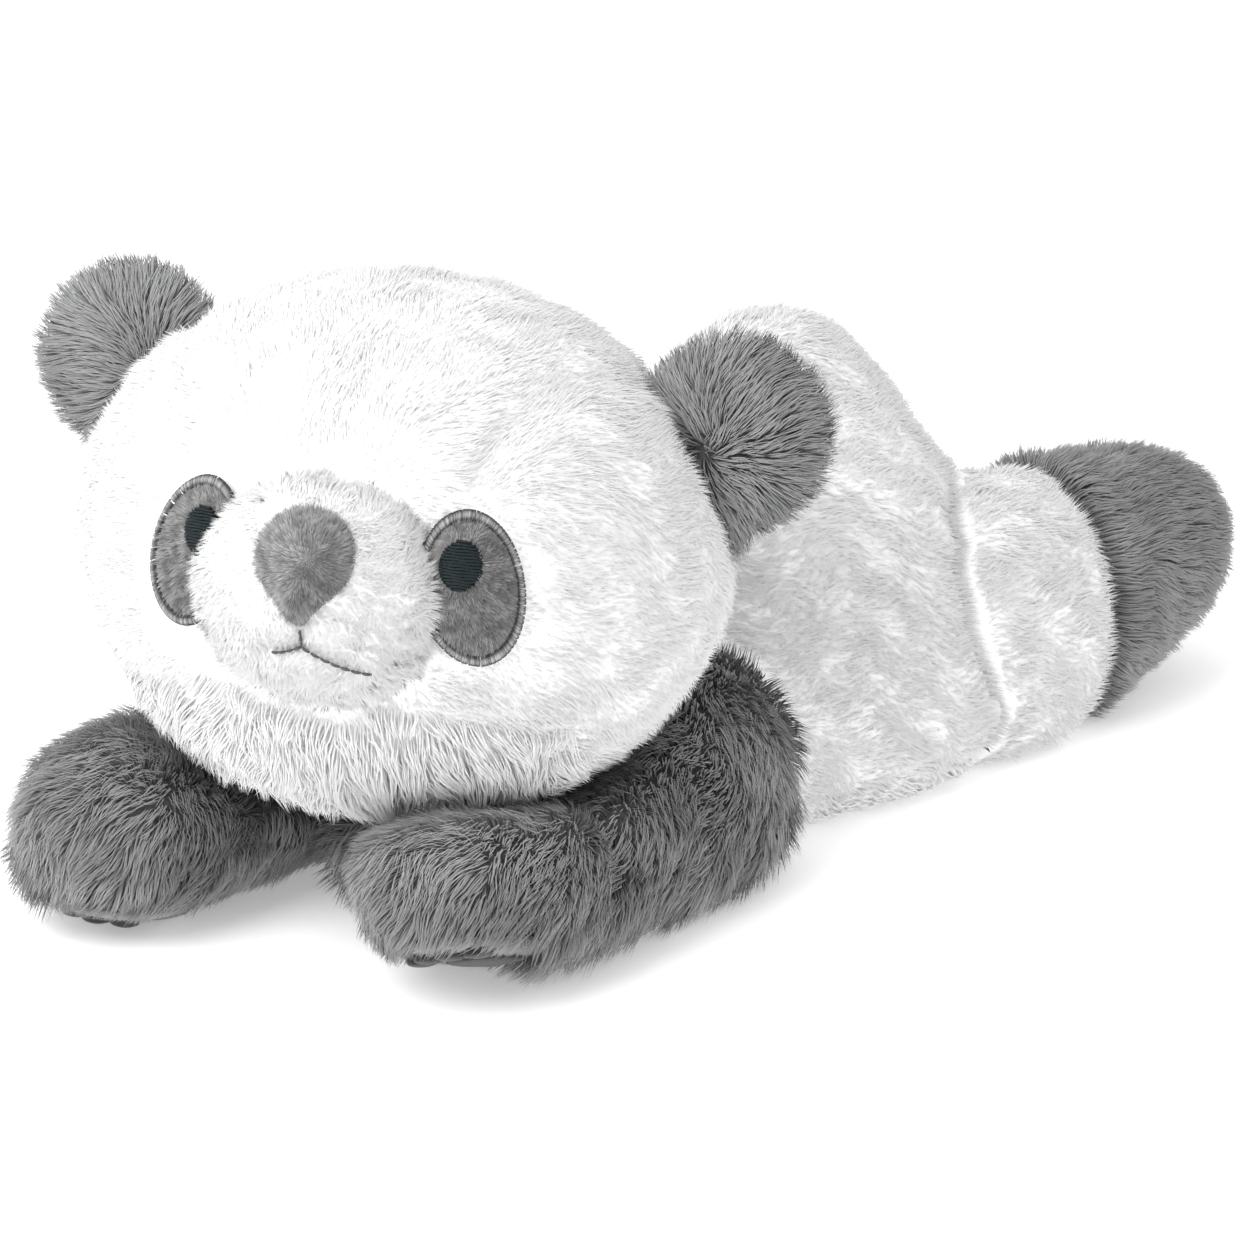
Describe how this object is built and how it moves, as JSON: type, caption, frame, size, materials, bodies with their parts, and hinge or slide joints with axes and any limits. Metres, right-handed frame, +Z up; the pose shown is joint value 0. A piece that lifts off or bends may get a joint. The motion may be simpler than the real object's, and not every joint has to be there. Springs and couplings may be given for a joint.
{
  "type": "plush panda",
  "caption": "Soft plush panda lying on its belly with splayed legs and its head turned, long white and grey pile, embroidered eyes, jointed by soft sewn seams.",
  "frame": {"origin": "on the floor under the middle of the flat belly", "axes": "the toy faces -Y, +X is its own left, +Z is up"},
  "size_m": [0.2558, 0.4936, 0.2242],
  "materials": {
    "white_plush": "long soft white pile",
    "white_short_pile": "short white pile",
    "grey_plush": "long grey pile with lighter tips",
    "grey_short_pile": "short brushed grey pile",
    "sole_cloth": "light grey short velour",
    "dark_pad": "smooth dark grey velour",
    "dark_thread": "dark grey rayon embroidery thread",
    "stuffing": "polyester fibre, out of sight",
    "pellets": "cotton bag of plastic pellets, out of sight"
  },
  "bodies": {
    "torso": {"left_back_cover": "white_plush", "right_back_cover": "white_plush", "belly_cover": "white_plush", "chest_panel": "grey_plush", "torso_stuffing": "stuffing", "pellet_bag": "pellets"},
    "neck": {"neck_stuffing": "stuffing"},
    "head": {"face_cover": "white_plush", "head_back_cover": "white_plush", "head_stuffing": "stuffing", "muzzle_cover": "white_short_pile", "muzzle_stuffing": "stuffing", "nose_cover": "grey_short_pile", "nose_stuffing": "stuffing", "mouth_embroidery": "dark_thread", "left_eye_patch": "grey_short_pile", "left_eye_border": "dark_thread", "left_eye_pupil": "dark_thread", "right_eye_patch": "grey_short_pile", "right_eye_border": "dark_thread", "right_eye_pupil": "dark_thread"},
    "left_ear": {"left_ear_front": "grey_plush", "left_ear_back": "grey_plush"},
    "right_ear": {"right_ear_front": "grey_plush", "right_ear_back": "grey_plush"},
    "left_arm": {"left_arm_top_cover": "grey_plush", "left_arm_under_cover": "grey_plush", "left_arm_stuffing": "stuffing", "left_palm_patch": "sole_cloth", "left_palm_pad": "dark_pad", "left_finger_pads": "dark_pad"},
    "right_arm": {"right_arm_top_cover": "grey_plush", "right_arm_under_cover": "grey_plush", "right_arm_stuffing": "stuffing", "right_palm_patch": "sole_cloth", "right_palm_pad": "dark_pad", "right_finger_pads": "dark_pad"},
    "left_leg": {"left_leg_cover": "white_plush", "left_leg_stuffing": "stuffing", "left_foot_cover": "grey_plush", "left_sole_patch": "sole_cloth", "left_sole_pad": "dark_pad", "left_toe_pads": "dark_pad"},
    "right_leg": {"right_leg_cover": "white_plush", "right_leg_stuffing": "stuffing", "right_foot_cover": "grey_plush", "right_sole_patch": "sole_cloth", "right_sole_pad": "dark_pad", "right_toe_pads": "dark_pad"},
    "tail": {"tail_cover": "white_plush", "tail_stuffing": "stuffing"}
  },
  "joints": [
    {"name": "neck_turn", "type": "hinge", "parent": "torso", "child": "neck", "pos_m": [0, -0.126, 0.121], "axis": [0, 0, 1], "range_deg": [-40, 6], "stiffness_Nm_per_rad": 0.35},
    {"name": "head_nod", "type": "hinge", "parent": "neck", "child": "head", "pos_m": [0, -0.126, 0.121], "axis": [0.9205, 0.3907, 0], "range_deg": [-6, 14], "stiffness_Nm_per_rad": 0.6},
    {"name": "left_ear_fold", "type": "hinge", "parent": "head", "child": "left_ear", "pos_m": [0.07488, -0.08958, 0.15669], "axis": [0.6528, 0.0728, -0.7541], "range_deg": [-20, 20], "stiffness_Nm_per_rad": 0.02},
    {"name": "right_ear_fold", "type": "hinge", "parent": "head", "child": "right_ear", "pos_m": [-0.08593, -0.15544, 0.16552], "axis": [0.5841, 0.4338, 0.6861], "range_deg": [-20, 20], "stiffness_Nm_per_rad": 0.02},
    {"name": "left_arm_swing", "type": "hinge", "parent": "torso", "child": "left_arm", "pos_m": [0.059, -0.062, 0.038], "axis": [0, 0, 1], "range_deg": [-6, 28], "stiffness_Nm_per_rad": 0.08},
    {"name": "right_arm_swing", "type": "hinge", "parent": "torso", "child": "right_arm", "pos_m": [-0.059, -0.062, 0.038], "axis": [0, 0, -1], "range_deg": [-6, 28], "stiffness_Nm_per_rad": 0.08},
    {"name": "left_leg_swing", "type": "hinge", "parent": "torso", "child": "left_leg", "pos_m": [0.06, 0.11, 0.034], "axis": [0, 0, -1], "range_deg": [-8, 20], "stiffness_Nm_per_rad": 0.08},
    {"name": "right_leg_swing", "type": "hinge", "parent": "torso", "child": "right_leg", "pos_m": [-0.06, 0.11, 0.034], "axis": [0, 0, 1], "range_deg": [-8, 20], "stiffness_Nm_per_rad": 0.08},
    {"name": "tail_wag", "type": "hinge", "parent": "torso", "child": "tail", "pos_m": [0, 0.124, 0.106], "axis": [0, 0, 1], "range_deg": [-25, 25], "stiffness_Nm_per_rad": 0.01}
  ]
}
